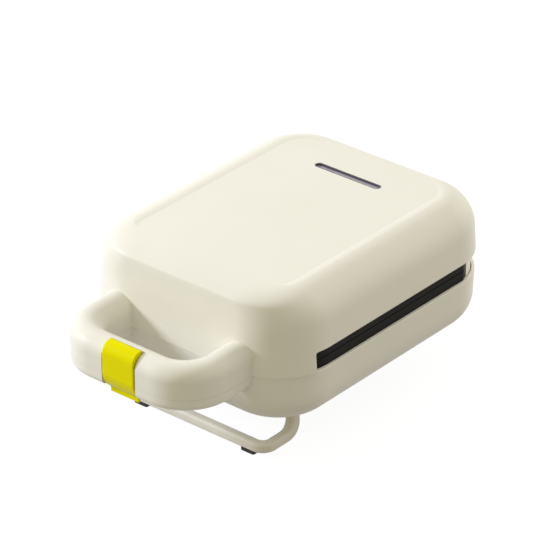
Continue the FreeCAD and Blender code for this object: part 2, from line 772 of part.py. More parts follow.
# Liners, plates and ring moulds: the lid's set is the base's set turned over
def bare_liner():
    tray = slab(LINER_HALF_W, at(LINER_FRONT), at(LINER_REAR), LINER_R, LINER_REAR_R, LINER_FLOOR_Z, SEAM_Z)
    flange = slab(FLANGE_HALF_W, at(FLANGE_FRONT), at(LINER_REAR), FLANGE_R, LINER_REAR_R,
                  SEAM_Z, LOWER_FACE_Z)
    inset = POCKET_INSET
    pocket = slab(LINER_HALF_W - inset, at(LINER_FRONT + inset), at(LINER_REAR - inset),
                  LINER_R - inset, LINER_REAR_R - inset, LEDGE_Z, LOWER_FACE_Z + OVERCUT)
    bowl = slab(LINER_HALF_W - LINER_WALL, at(LINER_FRONT + LINER_WALL), at(LINER_REAR - LINER_WALL),
                LINER_R - LINER_WALL, BOWL_REAR_R, SHEET_Z, LEDGE_Z)
    liner = joined([tray, flange]).cut(joined([pocket, bowl]))
    z0 = LINER_FLOOR_Z - OVERCUT
    z1 = SHEET_Z + OVERCUT
    liner = pierced(liner, rods_z(post_spots(), z0, z1, SCREW_SHANK_R))
    return pierced(liner, rods_z(cold_pin_spots(), z0, z1, COLD_PIN_HOLE_R))


def lower_liner():
    legs = rods_z(screw_spots(), FLOOR_Z, LINER_FLOOR_Z + SEAM_GAP, BOSS_R)
    liner = joined([bare_liner()] + legs)
    return pierced(liner, rods_z(screw_spots(), FLOOR_Z - OVERCUT, LINER_FLOOR_Z, SCREW_SHANK_R))


def upper_liner():
    z0 = LID_LINER_TOP_Z - LINER_FLOOR - OVERCUT
    z1 = LID_LINER_TOP_Z + OVERCUT
    return pierced(upside_down(bare_liner()), rods_z(screw_spots(), z0, z1, SCREW_SHANK_R))


def plate():
    inset = POCKET_INSET + PLATE_CLEARANCE
    cast = slab(LINER_HALF_W - inset, at(LINER_FRONT + inset), at(LINER_REAR - inset),
                LINER_R - inset, LINER_REAR_R - inset, LEDGE_Z, LOWER_FACE_Z)
    posts = rods_z(post_spots(), SHEET_Z, LEDGE_Z + 0.5 * PLATE_THICK, POST_R)
    holes = rods_z(ring_spots(), LEDGE_Z - OVERCUT, LOWER_FACE_Z + OVERCUT, RING_R)
    holes += rods_z(post_spots(), SHEET_Z - OVERCUT, SHEET_Z + POST_SCREW_DEPTH, SCREW_SHANK_R)
    return pierced(joined([cast] + posts), holes)


def ring_moulds():
    moulds = []
    for x, y in ring_spots():
        cup = rod_z(x, y, LOWER_FACE_Z - RING_DEPTH, LOWER_FACE_Z, RING_R)
        moulds.append(cup.cut(Part.makeTorus(RING_MAJOR, RING_MINOR, V(x, y, LOWER_FACE_Z))))
    return moulds


# Heating parts
def heater():
    loop = outline(HEATER_HALF_X, PLATE_MID_Y - HEATER_HALF_Y, PLATE_MID_Y + HEATER_HALF_Y,
                   HEATER_BEND_R, HEATER_BEND_R, HEATER_Z)
    start = V(HEATER_HALF_X, PLATE_MID_Y + HEATER_HALF_Y - HEATER_BEND_R, HEATER_Z)
    section = Part.Wire(Part.Circle(start, V(0, 1, 0), HEATER_R).toShape())
    tube = loop.makePipeShell([section], True, False)
    cold_pins = rods_z(cold_pin_spots(), HEATER_Z - COLD_PIN_LENGTH, HEATER_Z, COLD_PIN_R)
    return joined([tube] + cold_pins)


def reflector():
    inset = REFLECTOR_INSET
    sheet = slab(LINER_HALF_W - inset, at(LINER_FRONT + inset), at(LINER_REAR - inset),
                 LINER_R - inset, BOWL_REAR_R, SHEET_Z, SHEET_Z + REFLECTOR_THICK)
    z0 = SHEET_Z - OVERCUT
    z1 = SHEET_Z + REFLECTOR_THICK + OVERCUT
    sheet = pierced(sheet, rods_z(cold_pin_spots(), z0, z1, COLD_PIN_HOLE_R))
    return pierced(sheet, rods_z(post_spots(), z0, z1, POST_R + POST_HOLE_MARGIN))


def upper_reflector():
    z1 = 2 * PARTING_Z - SHEET_Z + OVERCUT
    z0 = z1 - REFLECTOR_THICK - 2 * OVERCUT
    return pierced(upside_down(reflector()), rods_z(screw_spots(), z0, z1, SCREW_HEAD_R + SCREW_HEAD_GAP))


def thermostat():
    cap = rod_z(0, PLATE_MID_Y, LINER_FLOOR_Z - THERMOSTAT_H, LINER_FLOOR_Z, THERMOSTAT_R)
    y0 = PLATE_MID_Y - BRACKET_HALF_Y
    y1 = PLATE_MID_Y + BRACKET_HALF_Y
    bracket = box(-BRACKET_HALF_X, BRACKET_HALF_X, y0, y1, LINER_FLOOR_Z - BRACKET_THICK, LINER_FLOOR_Z)
    return joined([cap, bracket])


def thermal_fuse():
    y = PLATE_MID_Y - FUSE_OFFSET
    z = LINER_FLOOR_Z - FUSE_R
    barrel = rod_x(-0.5 * FUSE_LENGTH, 0.5 * FUSE_LENGTH, y, z, FUSE_R)
    leads = rod_x(-FUSE_LENGTH, FUSE_LENGTH, y, z, FUSE_LEAD_R)
    return joined([barrel, leads])


# Indicator: lens in the top, board hung below it on spacers, two lamps
def indicator_lens():
    rim_z = PANEL_Z - LENS_SUNK
    window = lens_form(-LENS_GAP, SKIN_Z - SEAM_GAP, rim_z)
    flange = lens_form(LENS_FLANGE, SKIN_Z - LENS_FLANGE_THICK, SKIN_Z)
    return joined([window, flange]).cut(lens_form(-LENS_GAP - LENS_RIM, rim_z - LENS_WELL, TOP_Z))


def indicator_board():
    middle = at(LENS_CENTRE)
    top = BOARD_Z + BOARD_THICK
    board = box(-BOARD_HALF_X, BOARD_HALF_X, middle - BOARD_HALF_Y, middle + BOARD_HALF_Y, BOARD_Z, top)
    reach_x = BOARD_HALF_X - SPACER_INSET
    reach_y = BOARD_HALF_Y - SPACER_INSET
    spots = []
    for side_x in BOTH_SIDES:
        for side_y in BOTH_SIDES:
            spots.append((side_x * reach_x, middle + side_y * reach_y))
    return joined([board] + rods_z(spots, top - SEAM_GAP, SKIN_Z, SPACER_R))


def indicator_lamps():
    lamps = []
    z0 = BOARD_Z + BOARD_THICK
    for side in BOTH_SIDES:
        x = side * LAMP_X
        barrel = rod_z(x, at(LENS_CENTRE), z0, z0 + LAMP_HEIGHT, LAMP_R)
        dome = Part.makeSphere(LAMP_R, V(x, at(LENS_CENTRE), z0 + LAMP_HEIGHT))
        lamps.append(joined([barrel, dome]))
    return lamps


# Screws, hinge pins, wiring and cord inlet
def screw(x, y, seat_z, length):
    head_z = seat_z - SCREW_HEAD_H
    head = rod_z(x, y, head_z, seat_z, SCREW_HEAD_R)
    shank = rod_z(x, y, seat_z - SEAM_GAP, seat_z + length, SCREW_SHANK_R)
    z0 = head_z - OVERCUT
    z1 = head_z + CROSS_DEPTH
    cross_x = box(x - CROSS_HALF_L, x + CROSS_HALF_L, y - CROSS_HALF_W, y + CROSS_HALF_W, z0, z1)
    cross_y = box(x - CROSS_HALF_W, x + CROSS_HALF_W, y - CROSS_HALF_L, y + CROSS_HALF_L, z0, z1)
    return joined([head, shank]).cut(cross_x).cut(cross_y)


def screws(spots, seat_z, length):
    return [screw(x, y, seat_z, length) for x, y in spots]


def plate_screws():
    return screws(post_spots(), LINER_FLOOR_Z, POST_SCREW_DEPTH)


def hinge_pins():
    x0 = BASE_KNUCKLE_X - HINGE_PIN_END
    x1 = LID_KNUCKLE_X + KNUCKLE_LENGTH + HINGE_PIN_END
    right = rod_x(x0, x1, HINGE_Y, PARTING_Z, HINGE_PIN_R)
    return [right, mirrored_x(right)]


def wire_conduit():
    half = CONDUIT_HALF_LENGTH
    tube = rod_x(-half, half, HINGE_Y, PARTING_Z, KNUCKLE_R)
    return joined([tube, deck_foot(-half, half, PARTING_Z)]).cut(hinge_bore(CONDUIT_BORE_R))


def terminal_block():
    y1 = at(BODY_DEPTH - TERMINAL_BACK)
    y0 = y1 - TERMINAL_DEPTH
    top = FLOOR_Z + TERMINAL_HEIGHT
    block = box(-TERMINAL_HALF_X, TERMINAL_HALF_X, y0, y1, FLOOR_Z, top)
    wells = [(step * TERMINAL_PITCH, 0.5 * (y0 + y1)) for step in (-1, 0, 1)]
    return pierced(block, rods_z(wells, FLOOR_Z + TERMINAL_WELL_Z, top + OVERCUT, TERMINAL_WELL_R))


def base_wires():
    runs = []
    block_y = at(BODY_DEPTH - TERMINAL_BACK) - TERMINAL_DEPTH
    pin_z = HEATER_Z - COLD_PIN_LENGTH
    for side in BOTH_SIDES:
        x0 = side * TERMINAL_PITCH
        x1 = side * COLD_PIN_X
        runs.append(wire_run([
            V(x0, block_y, BASE_WIRE_Z),
            V(x0, block_y - BASE_WIRE_BEND, BASE_WIRE_Z),
            V(x1, COLD_PIN_Y, BASE_WIRE_Z),
            V(x1, COLD_PIN_Y, pin_z),
        ], WIRE_R))
    return runs


def lid_wires():
    runs = []
    pin_z = 2 * PARTING_Z - HEATER_Z + COLD_PIN_LENGTH
    for side in BOTH_SIDES:
        x = side * COLD_PIN_X
        runs.append(wire_run([
            V(x, COLD_PIN_Y, pin_z),
            V(x, COLD_PIN_Y, LID_WIRE_Z),
            V(x, COLD_PIN_Y + LID_WIRE_BACK, LID_WIRE_Z),
            V(x, COLD_PIN_Y + LID_WIRE_BACK, BOARD_Z + BOARD_THICK),
        ], WIRE_R))
    return runs


def cord_gland():
    back = LOWER_BACK_Y + GLAND_FLANGE_THICK
    sleeve = rod_y(0, LOWER_BACK_Y - GLAND_INNER_LENGTH, back, GLAND_Z, GLAND_R)
    flange = rod_y(0, LOWER_BACK_Y - GLAND_FLANGE_THICK, back, GLAND_Z, GLAND_FLANGE_R)
    wall = lower_outside().cut(gland_hole())
    bore = rod_y(0, LOWER_BACK_Y - FAR, LOWER_BACK_Y + FAR, GLAND_Z, GLAND_BORE_R)
    return joined([sleeve, flange.cut(wall)]).cut(bore)


save("upper_shell", [upper_shell()])
save("lower_shell", [lower_shell()])
save("upper_handle", [upper_handle()])
save("lower_handle", [lower_handle()])
save("latch", [latch()])
save("latch_pin", [latch_axle(PIN_HALF_LENGTH, PIN_R)])
save("front_stand", [front_stand()])
save("front_pads", front_pads())
save("rear_feet", rear_feet())
save("rear_pads", rods_z(foot_spots(), 0, PAD_THICK, REAR_PAD_R))
save("lower_liner", [lower_liner()])
save("upper_liner", [upper_liner()])
save("lower_plate", [plate()])
save("upper_plate", [upside_down(plate())])
save("lower_ring_moulds", ring_moulds())
save("upper_ring_moulds", [upside_down(mould) for mould in ring_moulds()])
save("lower_heater", [heater()])
save("upper_heater", [upside_down(heater())])
save("lower_reflector", [reflector()])
save("upper_reflector", [upper_reflector()])
save("lower_thermostat", [thermostat()])
save("upper_thermostat", [upside_down(thermostat())])
save("lower_fuse", [thermal_fuse()])
save("upper_fuse", [upside_down(thermal_fuse())])
save("indicator_lens", [indicator_lens()])
save("indicator_board", [indicator_board()])
save("indicator_lamps", indicator_lamps())
save("base_screws", screws(screw_spots(), SHELL_BOTTOM_Z + SCREW_HEAD_H, BASE_SCREW_LENGTH))
save("lid_screws", screws(screw_spots(), LID_LINER_TOP_Z - LINER_FLOOR, LID_SCREW_LENGTH))
save("lower_plate_screws", plate_screws())
save("upper_plate_screws", [upside_down(one) for one in plate_screws()])
save("base_hinge_blocks", base_hinge_blocks())
save("lid_hinge_blocks", lid_hinge_blocks())
save("hinge_pins", hinge_pins())
save("wire_conduit", [wire_conduit()])
save("terminal_block", [terminal_block()])
save("base_wires", base_wires())
save("lid_wires", lid_wires())
save("cord_gland", [cord_gland()])
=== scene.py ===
import bpy
import json
import math
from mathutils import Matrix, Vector


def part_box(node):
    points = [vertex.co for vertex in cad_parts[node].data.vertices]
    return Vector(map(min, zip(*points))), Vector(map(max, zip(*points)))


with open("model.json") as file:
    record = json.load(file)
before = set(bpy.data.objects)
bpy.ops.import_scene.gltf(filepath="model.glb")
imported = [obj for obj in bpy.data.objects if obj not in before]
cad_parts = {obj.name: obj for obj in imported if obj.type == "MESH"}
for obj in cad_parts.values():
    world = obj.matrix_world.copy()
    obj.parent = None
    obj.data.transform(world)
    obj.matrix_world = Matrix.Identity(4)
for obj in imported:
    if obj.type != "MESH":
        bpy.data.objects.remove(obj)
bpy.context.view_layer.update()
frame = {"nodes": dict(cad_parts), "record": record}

# Camera: degrees, metres and millimetres of lens
CAMERA_AZIMUTH = 39.86
CAMERA_ELEVATION = 29.25
CAMERA_DISTANCE = 1.6843
CAMERA_TARGET = Vector((0.0, 0.01257, 0.05161))
CAMERA_LENS = 231.5
SENSOR = 36.0

# Lamps: direction from the object, distance, width across, watts and colour
KEY_TOWARDS = Vector((-1.0, -0.62, 0.50))
KEY_DISTANCE = 1.6
KEY_SIZE = 0.34
KEY_WATTS = 20.0
KEY_COLOUR = (0.85, 0.88, 1.0)
REAR_TOWARDS = Vector((0.62, 0.70, 0.35))
REAR_DISTANCE = 0.55
REAR_SIZE = 0.40
REAR_WATTS = 0.28
REAR_COLOUR = (0.98, 1.0, 0.96)

# Surroundings: axis, sharpness and colour of each broad soft light in the room, and the floor
ROOM_LIGHTS = (
    ((0.0, 0.0, 1.0), 1.0, (0.69, 0.695, 0.66)),
    ((1.0, 0.0, 0.0), 2.0, (0.10, 0.07, 0.01)),
    ((0.0, 1.0, 0.0), 2.0, (1.75, 1.62, 1.50)),
    ((0.0, -1.0, 0.0), 2.0, (0.44, 0.37, 0.12)),
)
FLOOR_SIZE = 6.0
FLOOR_COLOUR = (0.42, 0.41, 0.39, 1.0)
FLOOR_SEEN = (0.13, 0.13, 0.13, 1.0)
FLOOR_WHITE = 0.93
WHITE = (1.0, 1.0, 1.0, 1.0)

# Indicator lens: depth of its well, the band where wall meets floor, its middle and straight length,
# and how far from its midline the floor begins and ends to darken with painted shade; the well's walls are
# painted dark as shade
LENS_WELL = 0.0010
LENS_WELL_EASE = 0.00005
LENS_MIDDLE = (0.0, 0.06255, 0.0)
LENS_STRAIGHT = 0.0173
LENS_SHADE = (0.0011, 0.0017)

# Colours of the finishes, linear red, green, blue and opacity
CREAM_DEEP = (0.860, 0.838, 0.745, 1.0)
CREAM_PALE = (0.878, 0.858, 0.769, 1.0)
YELLOW_DEEP = (0.845, 0.78, 0.001, 1.0)
YELLOW_PALE = (0.87, 0.805, 0.001, 1.0)
LINER_DEEP = (0.013, 0.0125, 0.0112, 1.0)
LINER_PALE = (0.017, 0.0162, 0.0148, 1.0)
# Liner colour painted along edges as a highlight (painted sheen)
LINER_EDGE_SHEEN = (0.024, 0.023, 0.021, 1.0)
LINER_DUST = (0.10, 0.098, 0.09, 1.0)
COATING_DEEP = (0.024, 0.024, 0.026, 1.0)
COATING_PALE = (0.036, 0.036, 0.038, 1.0)
COATING_FLECK = (0.16, 0.16, 0.165, 1.0)
# Coating colour painted along edges as a highlight (painted sheen)
COATING_EDGE_SHEEN = (0.09, 0.088, 0.085, 1.0)
HEATER_BURNT = (0.20, 0.15, 0.115, 1.0)
HEATER_CLEAN = (0.42, 0.38, 0.34, 1.0)
REFLECTOR_DULL = (0.66, 0.66, 0.67, 1.0)
REFLECTOR_BRIGHT = (0.80, 0.80, 0.81, 1.0)
CERAMIC_DEEP = (0.72, 0.69, 0.62, 1.0)
CERAMIC_PALE = (0.80, 0.78, 0.72, 1.0)
# Ceramic colour painted along edges as a highlight (painted sheen)
CERAMIC_EDGE_SHEEN = (0.86, 0.85, 0.81, 1.0)
# Metal colour painted along edges as a highlight (painted sheen)
METAL_EDGE_SHEEN = (0.85, 0.85, 0.86, 1.0)
FUSE_DULL = (0.50, 0.47, 0.42, 1.0)
FUSE_BRIGHT = (0.66, 0.63, 0.58, 1.0)
STEEL_DULL = (0.44, 0.44, 0.45, 1.0)
STEEL_BRIGHT = (0.62, 0.62, 0.63, 1.0)
RUBBER_DEEP = (0.014, 0.014, 0.015, 1.0)
RUBBER_PALE = (0.024, 0.024, 0.026, 1.0)
RUBBER_DUST = (0.12, 0.115, 0.105, 1.0)
SLEEVE_DEEP = (0.55, 0.53, 0.48, 1.0)
SLEEVE_PALE = (0.80, 0.78, 0.73, 1.0)
LENS_FLOOR_DEEP = (0.40, 0.365, 0.425, 1.0)
LENS_FLOOR_PALE = (0.48, 0.445, 0.505, 1.0)
# Painted shade in the lens well: the floor's darker edge and the dark walls
LENS_FLOOR_PAINTED_SHADE = (0.17, 0.155, 0.19, 1.0)
LENS_WALL_PAINTED_SHADE = (0.085, 0.078, 0.098, 1.0)
BOARD_DEEP = (0.012, 0.11, 0.04, 1.0)
BOARD_PALE = (0.025, 0.19, 0.07, 1.0)
LAMP_DEEP = (0.55, 0.05, 0.03, 1.0)
LAMP_PALE = (0.75, 0.11, 0.07, 1.0)

# Size of the clouds that gather the coating's flecks, per metre
FLECK_CLOUDS = 240.0

# Rays that look around each edge for its painted sheen
EDGE_SAMPLES = 6


# Node helpers
def add_node(tree, kind, values=None, links=None, **settings):
    made = tree.nodes.new(kind)
    for key, value in settings.items():
        setattr(made, key, value)
    for socket, value in (values or {}).items():
        made.inputs[socket].default_value = value
    for socket, source in (links or {}).items():
        tree.links.new(source, made.inputs[socket])
    return made


def new_group(name, inputs, outputs):
    group = bpy.data.node_groups.new(name, "ShaderNodeTree")
    for label, value in inputs.items():
        socket = group.interface.new_socket(label, in_out="INPUT", socket_type="NodeSocketFloat")
        socket.default_value = value
    for label in outputs:
        group.interface.new_socket(label, in_out="OUTPUT", socket_type="NodeSocketFloat")
    start = group.nodes.new("NodeGroupInput")
    end = group.nodes.new("NodeGroupOutput")
    return group, start, end


def place_group(tree, group, **values):
    made = tree.nodes.new("ShaderNodeGroup")
    made.node_tree = group
    for label, value in values.items():
        made.inputs[label.replace("_", " ")].default_value = value
    return made


def object_place(tree):
    return add_node(tree, "ShaderNodeTexCoord").outputs["Object"]


def noise(tree, place, scale, detail):
    made = add_node(tree, "ShaderNodeTexNoise", {"Detail": detail}, {"Vector": place})
    if isinstance(scale, (int, float)):
        made.inputs["Scale"].default_value = scale
    else:
        tree.links.new(scale, made.inputs["Scale"])
    return made.outputs["Fac"]


def remap(tree, value, from_low=0.0, from_high=1.0, to_low=0.0, to_high=1.0):
    limits = {"From Min": from_low, "From Max": from_high, "To Min": to_low, "To Max": to_high}
    return add_node(tree, "ShaderNodeMapRange", limits, {"Value": value}).outputs["Result"]


def product(tree, first, second):
    return add_node(tree, "ShaderNodeMath", links={0: first, 1: second}, operation="MULTIPLY").outputs[0]


MIX_FACTOR = 0
MIX_FIRST = 6
MIX_SECOND = 7
MIX_RESULT = 2


def blend_colours(tree, factor, first, second):
    made = tree.nodes.new("ShaderNodeMix")
    made.data_type = "RGBA"
    tree.links.new(factor, made.inputs[MIX_FACTOR])
    for index, colour in ((MIX_FIRST, first), (MIX_SECOND, second)):
        if isinstance(colour, tuple):
            made.inputs[index].default_value = colour
        else:
            tree.links.new(colour, made.inputs[index])
    return made.outputs[MIX_RESULT]


def bump(tree, height, strength, distance):
    values = {"Strength": strength, "Distance": distance}
    return add_node(tree, "ShaderNodeBump", values, {"Height": height}).outputs["Normal"]


# Shared effects
def make_moulded_grain():
    group, start, end = new_group("moulded_grain", {"Grain": 2200.0, "Patch": 24.0}, ["Height", "Tone"])
    place = object_place(group)
    group.links.new(noise(group, place, start.outputs["Grain"], detail=2.0), end.inputs["Height"])
    slow = noise(group, place, start.outputs["Patch"], detail=3.0)
    group.links.new(remap(group, slow, from_low=0.3, from_high=0.7), end.inputs["Tone"])
    return group


# Painted edge sheen: a lighter band along edges, broken into patches, standing in for highlights on rounded
# edges
def make_painted_edge_sheen():
    group, start, end = new_group("painted_edge_sheen", {"Width": 0.0005, "Breakup": 300.0}, ["Mask"])
    soft = group.nodes.new("ShaderNodeBevel")
    soft.samples = EDGE_SAMPLES
    group.links.new(start.outputs["Width"], soft.inputs["Radius"])
    sharp = group.nodes.new("ShaderNodeNewGeometry")
    links = {0: soft.outputs["Normal"], 1: sharp.outputs["Normal"]}
    agree = add_node(group, "ShaderNodeVectorMath", links=links, operation="DOT_PRODUCT").outputs["Value"]
    edge = remap(group, agree, from_low=0.995, from_high=0.88)
    cloud = noise(group, object_place(group), start.outputs["Breakup"], detail=3.0)
    patchy = remap(group, cloud, from_low=0.38, from_high=0.62)
    group.links.new(product(group, edge, patchy), end.inputs["Mask"])
    return group


def make_dust_film():
    group, start, end = new_group("dust_film", {"Scale": 160.0, "Amount": 0.3}, ["Mask"])
    normal = add_node(group, "ShaderNodeNewGeometry").outputs["Normal"]
    up = add_node(group, "ShaderNodeSeparateXYZ", links={0: normal}).outputs["Z"]
    settled = remap(group, up, from_low=0.2, from_high=1.0)
    cloud = noise(group, object_place(group), start.outputs["Scale"], detail=6.0)
    film = product(group, settled, remap(group, cloud, from_low=0.35, from_high=0.75))
    group.links.new(product(group, film, start.outputs["Amount"]), end.inputs["Mask"])
    return group


def make_drawn_lines():
    group, start, end = new_group("drawn_lines", {"Scale": 400.0, "Stretch": 0.04}, ["Height", "Tone"])
    size = add_node(group, "ShaderNodeCombineXYZ", {"Y": 1.0, "Z": 1.0}, {"X": start.outputs["Stretch"]})
    links = {0: object_place(group), 1: size.outputs["Vector"]}
    place = add_node(group, "ShaderNodeVectorMath", links=links, operation="MULTIPLY").outputs["Vector"]
    lines = noise(group, place, start.outputs["Scale"], detail=5.0)
    group.links.new(lines, end.inputs["Height"])
    group.links.new(remap(group, lines, from_low=0.3, from_high=0.7), end.inputs["Tone"])
    return group


def make_flecks():
    group, start, end = new_group("flecks", {"Scale": 900.0, "Size": 0.22}, ["Mask"])
    links = {"Vector": object_place(group), "Scale": start.outputs["Scale"]}
    cells = add_node(group, "ShaderNodeTexVoronoi", links=links)
    links = {0: cells.outputs["Distance"], 1: start.outputs["Size"]}
    small = add_node(group, "ShaderNodeMath", links=links, operation="LESS_THAN").outputs[0]
    cloud = noise(group, object_place(group), FLECK_CLOUDS, detail=2.0)
    sparse = remap(group, cloud, from_low=0.45, from_high=0.60)
    group.links.new(product(group, small, sparse), end.inputs["Mask"])
    return group


GRAIN = make_moulded_grain()
EDGE_SHEEN_GROUP = make_painted_edge_sheen()
DUST = make_dust_film()
DRAWN = make_drawn_lines()
FLECKS = make_flecks()


# Materials
def new_material(name, **constants):
    material = bpy.data.materials.new(name)
    material.use_nodes = True
    tree = material.node_tree
    shader = tree.nodes["Principled BSDF"]
    for label, value in constants.items():
        shader.inputs[label.replace("_", " ")].default_value = value
    return material, tree, shader


def wire(tree, shader, **sources):
    for label, source in sources.items():
        tree.links.new(source, shader.inputs[label.replace("_", " ")])


def cream_plastic():
    material, tree, shader = new_material("cream_plastic", IOR=1.5, Specular_IOR_Level=0.15)
    grain = place_group(tree, GRAIN, Grain=2600.0, Patch=22.0)
    tone = grain.outputs["Tone"]
    colour = blend_colours(tree, tone, CREAM_DEEP, CREAM_PALE)
    wire(tree, shader, Base_Color=colour, Roughness=remap(tree, tone, to_low=0.36, to_high=0.46),
         Normal=bump(tree, grain.outputs["Height"], strength=0.10, distance=0.00006))
    return material


def yellow_plastic():
    material, tree, shader = new_material("yellow_plastic", IOR=1.5, Specular_IOR_Level=0.04)
    grain = place_group(tree, GRAIN, Grain=1500.0, Patch=60.0)
    tone = grain.outputs["Tone"]
    colour = blend_colours(tree, tone, YELLOW_DEEP, YELLOW_PALE)
    wire(tree, shader, Base_Color=colour, Roughness=remap(tree, tone, to_low=0.24, to_high=0.32),
         Normal=bump(tree, grain.outputs["Height"], strength=0.08, distance=0.00005))
    return material


def black_liner():
    material, tree, shader = new_material("black_liner", IOR=1.5, Specular_IOR_Level=0.06)
    grain = place_group(tree, GRAIN, Grain=1800.0, Patch=40.0)
    edge = place_group(tree, EDGE_SHEEN_GROUP, Width=0.0006, Breakup=420.0)
    dust = place_group(tree, DUST, Scale=220.0, Amount=0.03)
    tone = grain.outputs["Tone"]
    base = blend_colours(tree, tone, LINER_DEEP, LINER_PALE)
    # Painted sheen: the liner's edges are lightened as if catching light
    edge_sheened = blend_colours(tree, edge.outputs["Mask"], base, LINER_EDGE_SHEEN)
    dusty = blend_colours(tree, dust.outputs["Mask"], edge_sheened, LINER_DUST)
    wire(tree, shader, Base_Color=dusty, Roughness=remap(tree, tone, to_low=0.5, to_high=0.62),
         Normal=bump(tree, grain.outputs["Height"], strength=0.25, distance=0.00008))
    return material


def plate_coating():
    material, tree, shader = new_material("plate_coating", IOR=1.5, Specular_IOR_Level=0.2)
    grain = place_group(tree, GRAIN, Grain=3200.0, Patch=18.0)
    fleck = place_group(tree, FLECKS, Scale=1100.0, Size=0.30)
    edge = place_group(tree, EDGE_SHEEN_GROUP, Width=0.0005, Breakup=300.0)
    tone = grain.outputs["Tone"]
    base = blend_colours(tree, tone, COATING_DEEP, COATING_PALE)
    flecked = blend_colours(tree, fleck.outputs["Mask"], base, COATING_FLECK)
    # Painted sheen: the coating's edges are lightened as if catching light
    edge_sheened = blend_colours(tree, edge.outputs["Mask"], flecked, COATING_EDGE_SHEEN)
    wire(tree, shader, Base_Color=edge_sheened, Roughness=remap(tree, tone, to_low=0.52, to_high=0.64),
         Normal=bump(tree, grain.outputs["Height"], strength=0.22, distance=0.00006))
    return material


def heater_steel():
    material, tree, shader = new_material("heater_steel", Metallic=1.0)
    grain = place_group(tree, GRAIN, Grain=900.0, Patch=55.0)
    tone = grain.outputs["Tone"]
    colour = blend_colours(tree, tone, HEATER_BURNT, HEATER_CLEAN)
    wire(tree, shader, Base_Color=colour, Roughness=remap(tree, tone, to_low=0.34, to_high=0.55),
         Normal=bump(tree, grain.outputs["Height"], strength=0.2, distance=0.00006))
    return material


def reflector_sheet():
    material, tree, shader = new_material("reflector_sheet", Metallic=1.0)
    lines = place_group(tree, DRAWN, Scale=700.0, Stretch=0.03)
    tone = lines.outputs["Tone"]
    colour = blend_colours(tree, tone, REFLECTOR_DULL, REFLECTOR_BRIGHT)
    wire(tree, shader, Base_Color=colour, Roughness=remap(tree, tone, to_low=0.20, to_high=0.34),
         Normal=bump(tree, lines.outputs["Height"], strength=0.15, distance=0.00004))
    return material


def ceramic():
    material, tree, shader = new_material("ceramic", IOR=1.55)
    grain = place_group(tree, GRAIN, Grain=1400.0, Patch=80.0)
    edge = place_group(tree, EDGE_SHEEN_GROUP, Width=0.0004, Breakup=500.0)
    tone = grain.outputs["Tone"]
    base = blend_colours(tree, tone, CERAMIC_DEEP, CERAMIC_PALE)
    # Painted sheen: the ceramic's edges are lightened as if catching light
    edge_sheened = blend_colours(tree, edge.outputs["Mask"], base, CERAMIC_EDGE_SHEEN)
    wire(tree, shader, Base_Color=edge_sheened, Roughness=remap(tree, tone, to_low=0.5, to_high=0.68),
         Normal=bump(tree, grain.outputs["Height"], strength=0.3, distance=0.00008))
    return material


def drawn_metal(name, dark, light, rough_low, rough_high):
    material, tree, shader = new_material(name, Metallic=1.0)
    lines = place_group(tree, DRAWN, Scale=900.0, Stretch=0.08)
    edge = place_group(tree, EDGE_SHEEN_GROUP, Width=0.0003, Breakup=700.0)
    tone = lines.outputs["Tone"]
    base = blend_colours(tree, tone, dark, light)
    # Painted sheen: the metal's edges are brightened as if catching light
    bright = blend_colours(tree, edge.outputs["Mask"], base, METAL_EDGE_SHEEN)
    rough = remap(tree, tone, to_low=rough_low, to_high=rough_high)
    wire(tree, shader, Base_Color=bright, Roughness=rough,
         Normal=bump(tree, lines.outputs["Height"], strength=0.2, distance=0.00004))
    return material


def fuse_metal():
    return drawn_metal("fuse_metal", FUSE_DULL, FUSE_BRIGHT, rough_low=0.28, rough_high=0.40)


def steel():
    return drawn_metal("steel", STEEL_DULL, STEEL_BRIGHT, rough_low=0.22, rough_high=0.36)


def black_rubber():
    material, tree, shader = new_material("black_rubber", IOR=1.5)
    grain = place_group(tree, GRAIN, Grain=1200.0, Patch=90.0)
    dust = place_group(tree, DUST, Scale=300.0, Amount=0.25)
    tone = grain.outputs["Tone"]
    base = blend_colours(tree, tone, RUBBER_DEEP, RUBBER_PALE)
    dusty = blend_colours(tree, dust.outputs["Mask"], base, RUBBER_DUST)
    wire(tree, shader, Base_Color=dusty, Roughness=remap(tree, tone, to_low=0.66, to_high=0.82),
         Normal=bump(tree, grain.outputs["Height"], strength=0.35, distance=0.0001))
    return material


def wire_sleeve():
    material, tree, shader = new_material("wire_sleeve", IOR=1.45)
    braid = place_group(tree, DRAWN, Scale=2400.0, Stretch=0.5)
    tone = braid.outputs["Tone"]
    colour = blend_colours(tree, tone, SLEEVE_DEEP, SLEEVE_PALE)
    wire(tree, shader, Base_Color=colour, Roughness=remap(tree, tone, to_low=0.6, to_high=0.8),
         Normal=bump(tree, braid.outputs["Height"], strength=0.4, distance=0.0001))
    return material


